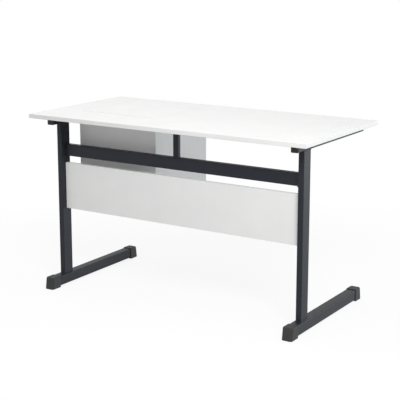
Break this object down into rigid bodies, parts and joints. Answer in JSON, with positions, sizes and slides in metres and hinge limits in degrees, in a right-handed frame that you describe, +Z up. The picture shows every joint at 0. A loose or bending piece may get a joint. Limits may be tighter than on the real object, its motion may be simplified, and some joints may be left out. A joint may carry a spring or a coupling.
{
  "type": "flip-top training table",
  "caption": "Training table on C-shaped legs with a cross beam, a modesty panel and a hung compartment under a flip-up lid on gas struts in the worktop.",
  "frame": {"origin": "on the floor, under the middle of the worktop", "axes": "+X along the table to the visitor's right, +Y towards the user, +Z up"},
  "size_m": [1.3, 0.63, 0.76],
  "materials": {
    "white_board": "white melamine-faced chipboard, satin",
    "edge_plastic": "white 2 mm plastic edging, satin",
    "frame_paint": "dark grey powder coat, satin",
    "cap_plastic": "dark grey moulded plastic, fine texture",
    "glide_plastic": "pale moulded plastic",
    "zinc_steel": "bright zinc-plated steel",
    "hinge_paint": "white powder coat, satin",
    "strut_paint": "black painted steel",
    "rod_chrome": "polished chrome",
    "latch_plastic": "grey moulded plastic"
  },
  "bodies": {
    "frame": {"beam_end_plate_left": "frame_paint", "beam_end_plate_right": "frame_paint", "cable_grommet": "cap_plastic", "centre_post": "frame_paint", "centre_post_plate": "frame_paint", "compartment_floor": "white_board", "compartment_rail_left": "zinc_steel", "compartment_rail_right": "zinc_steel", "compartment_wall_left": "white_board", "compartment_wall_right": "white_board", "compartment_wall_user": "white_board", "compartment_wall_visitor": "white_board", "cross_beam": "frame_paint", "edge_band_left": "edge_plastic", "edge_band_right": "edge_plastic", "edge_band_user": "edge_plastic", "edge_band_visitor": "edge_plastic", "hinge_leaf_top_left": "hinge_paint", "hinge_leaf_top_right": "hinge_paint", "hinge_pin_left": "hinge_paint", "hinge_pin_right": "hinge_paint", "latch_body": "latch_plastic", "left_arm_plug_user": "cap_plastic", "left_arm_plug_visitor": "cap_plastic", "left_foot_cap_user": "cap_plastic", "left_foot_cap_visitor": "cap_plastic", "left_foot_tube": "frame_paint", "left_glide_user": "glide_plastic", "left_glide_visitor": "glide_plastic", "left_top_arm": "frame_paint", "left_upright": "frame_paint", "modesty_panel": "white_board", "panel_bracket_left_lower": "zinc_steel", "panel_bracket_left_upper": "zinc_steel", "panel_bracket_right_lower": "zinc_steel", "panel_bracket_right_upper": "zinc_steel", "right_arm_plug_user": "cap_plastic", "right_arm_plug_visitor": "cap_plastic", "right_foot_cap_user": "cap_plastic", "right_foot_cap_visitor": "cap_plastic", "right_foot_tube": "frame_paint", "right_glide_user": "glide_plastic", "right_glide_visitor": "glide_plastic", "right_top_arm": "frame_paint", "right_upright": "frame_paint", "strut_wall_stud_left": "zinc_steel", "strut_wall_stud_right": "zinc_steel", "table_top": "white_board"},
    "lid": {"lid": "white_board", "hinge_leaf_lid_left": "hinge_paint", "hinge_leaf_lid_right": "hinge_paint", "monitor_plate": "frame_paint", "strut_lid_bracket_left": "zinc_steel", "strut_lid_bracket_right": "zinc_steel"},
    "strut_rod_left": {"strut_rod_left": "rod_chrome"},
    "strut_rod_right": {"strut_rod_right": "rod_chrome"},
    "strut_cylinder_left": {"strut_cylinder_left": "strut_paint"},
    "strut_cylinder_right": {"strut_cylinder_right": "strut_paint"},
    "latch_plunger": {"latch_plunger": "glide_plastic"}
  },
  "joints": [
    {"name": "lid_flip", "type": "hinge", "parent": "frame", "child": "lid", "pos_m": [-0.327, -0.127, 0.7575], "axis": [1, 0, 0], "range_deg": [0, 95]},
    {"name": "strut_left_pivot", "type": "hinge", "parent": "lid", "child": "strut_rod_left", "pos_m": [-0.494, -0.067, 0.73], "axis": [1, 0, 0], "range_deg": [-94, 0]},
    {"name": "strut_left_slide", "type": "slide", "parent": "strut_rod_left", "child": "strut_cylinder_left", "axis": [0, 0.2976, -0.9547], "range_m": [0, 0.0975]},
    {"name": "strut_right_pivot", "type": "hinge", "parent": "lid", "child": "strut_rod_right", "pos_m": [-0.16, -0.067, 0.73], "axis": [1, 0, 0], "range_deg": [-94, 0]},
    {"name": "strut_right_slide", "type": "slide", "parent": "strut_rod_right", "child": "strut_cylinder_right", "axis": [0, 0.2976, -0.9547], "range_m": [0, 0.0975]},
    {"name": "latch_push", "type": "slide", "parent": "frame", "child": "latch_plunger", "axis": [0, 0, -1], "range_m": [0, 0.005], "stiffness_N_per_m": 300}
  ],
  "couplings": [
    {"joint": "strut_left_pivot", "follows": "lid_flip", "ratio": -0.98094},
    {"joint": "strut_left_slide", "follows": "lid_flip", "m_per_rad": 0.05851},
    {"joint": "strut_right_pivot", "follows": "lid_flip", "ratio": -0.98094},
    {"joint": "strut_right_slide", "follows": "lid_flip", "m_per_rad": 0.05851}
  ]
}
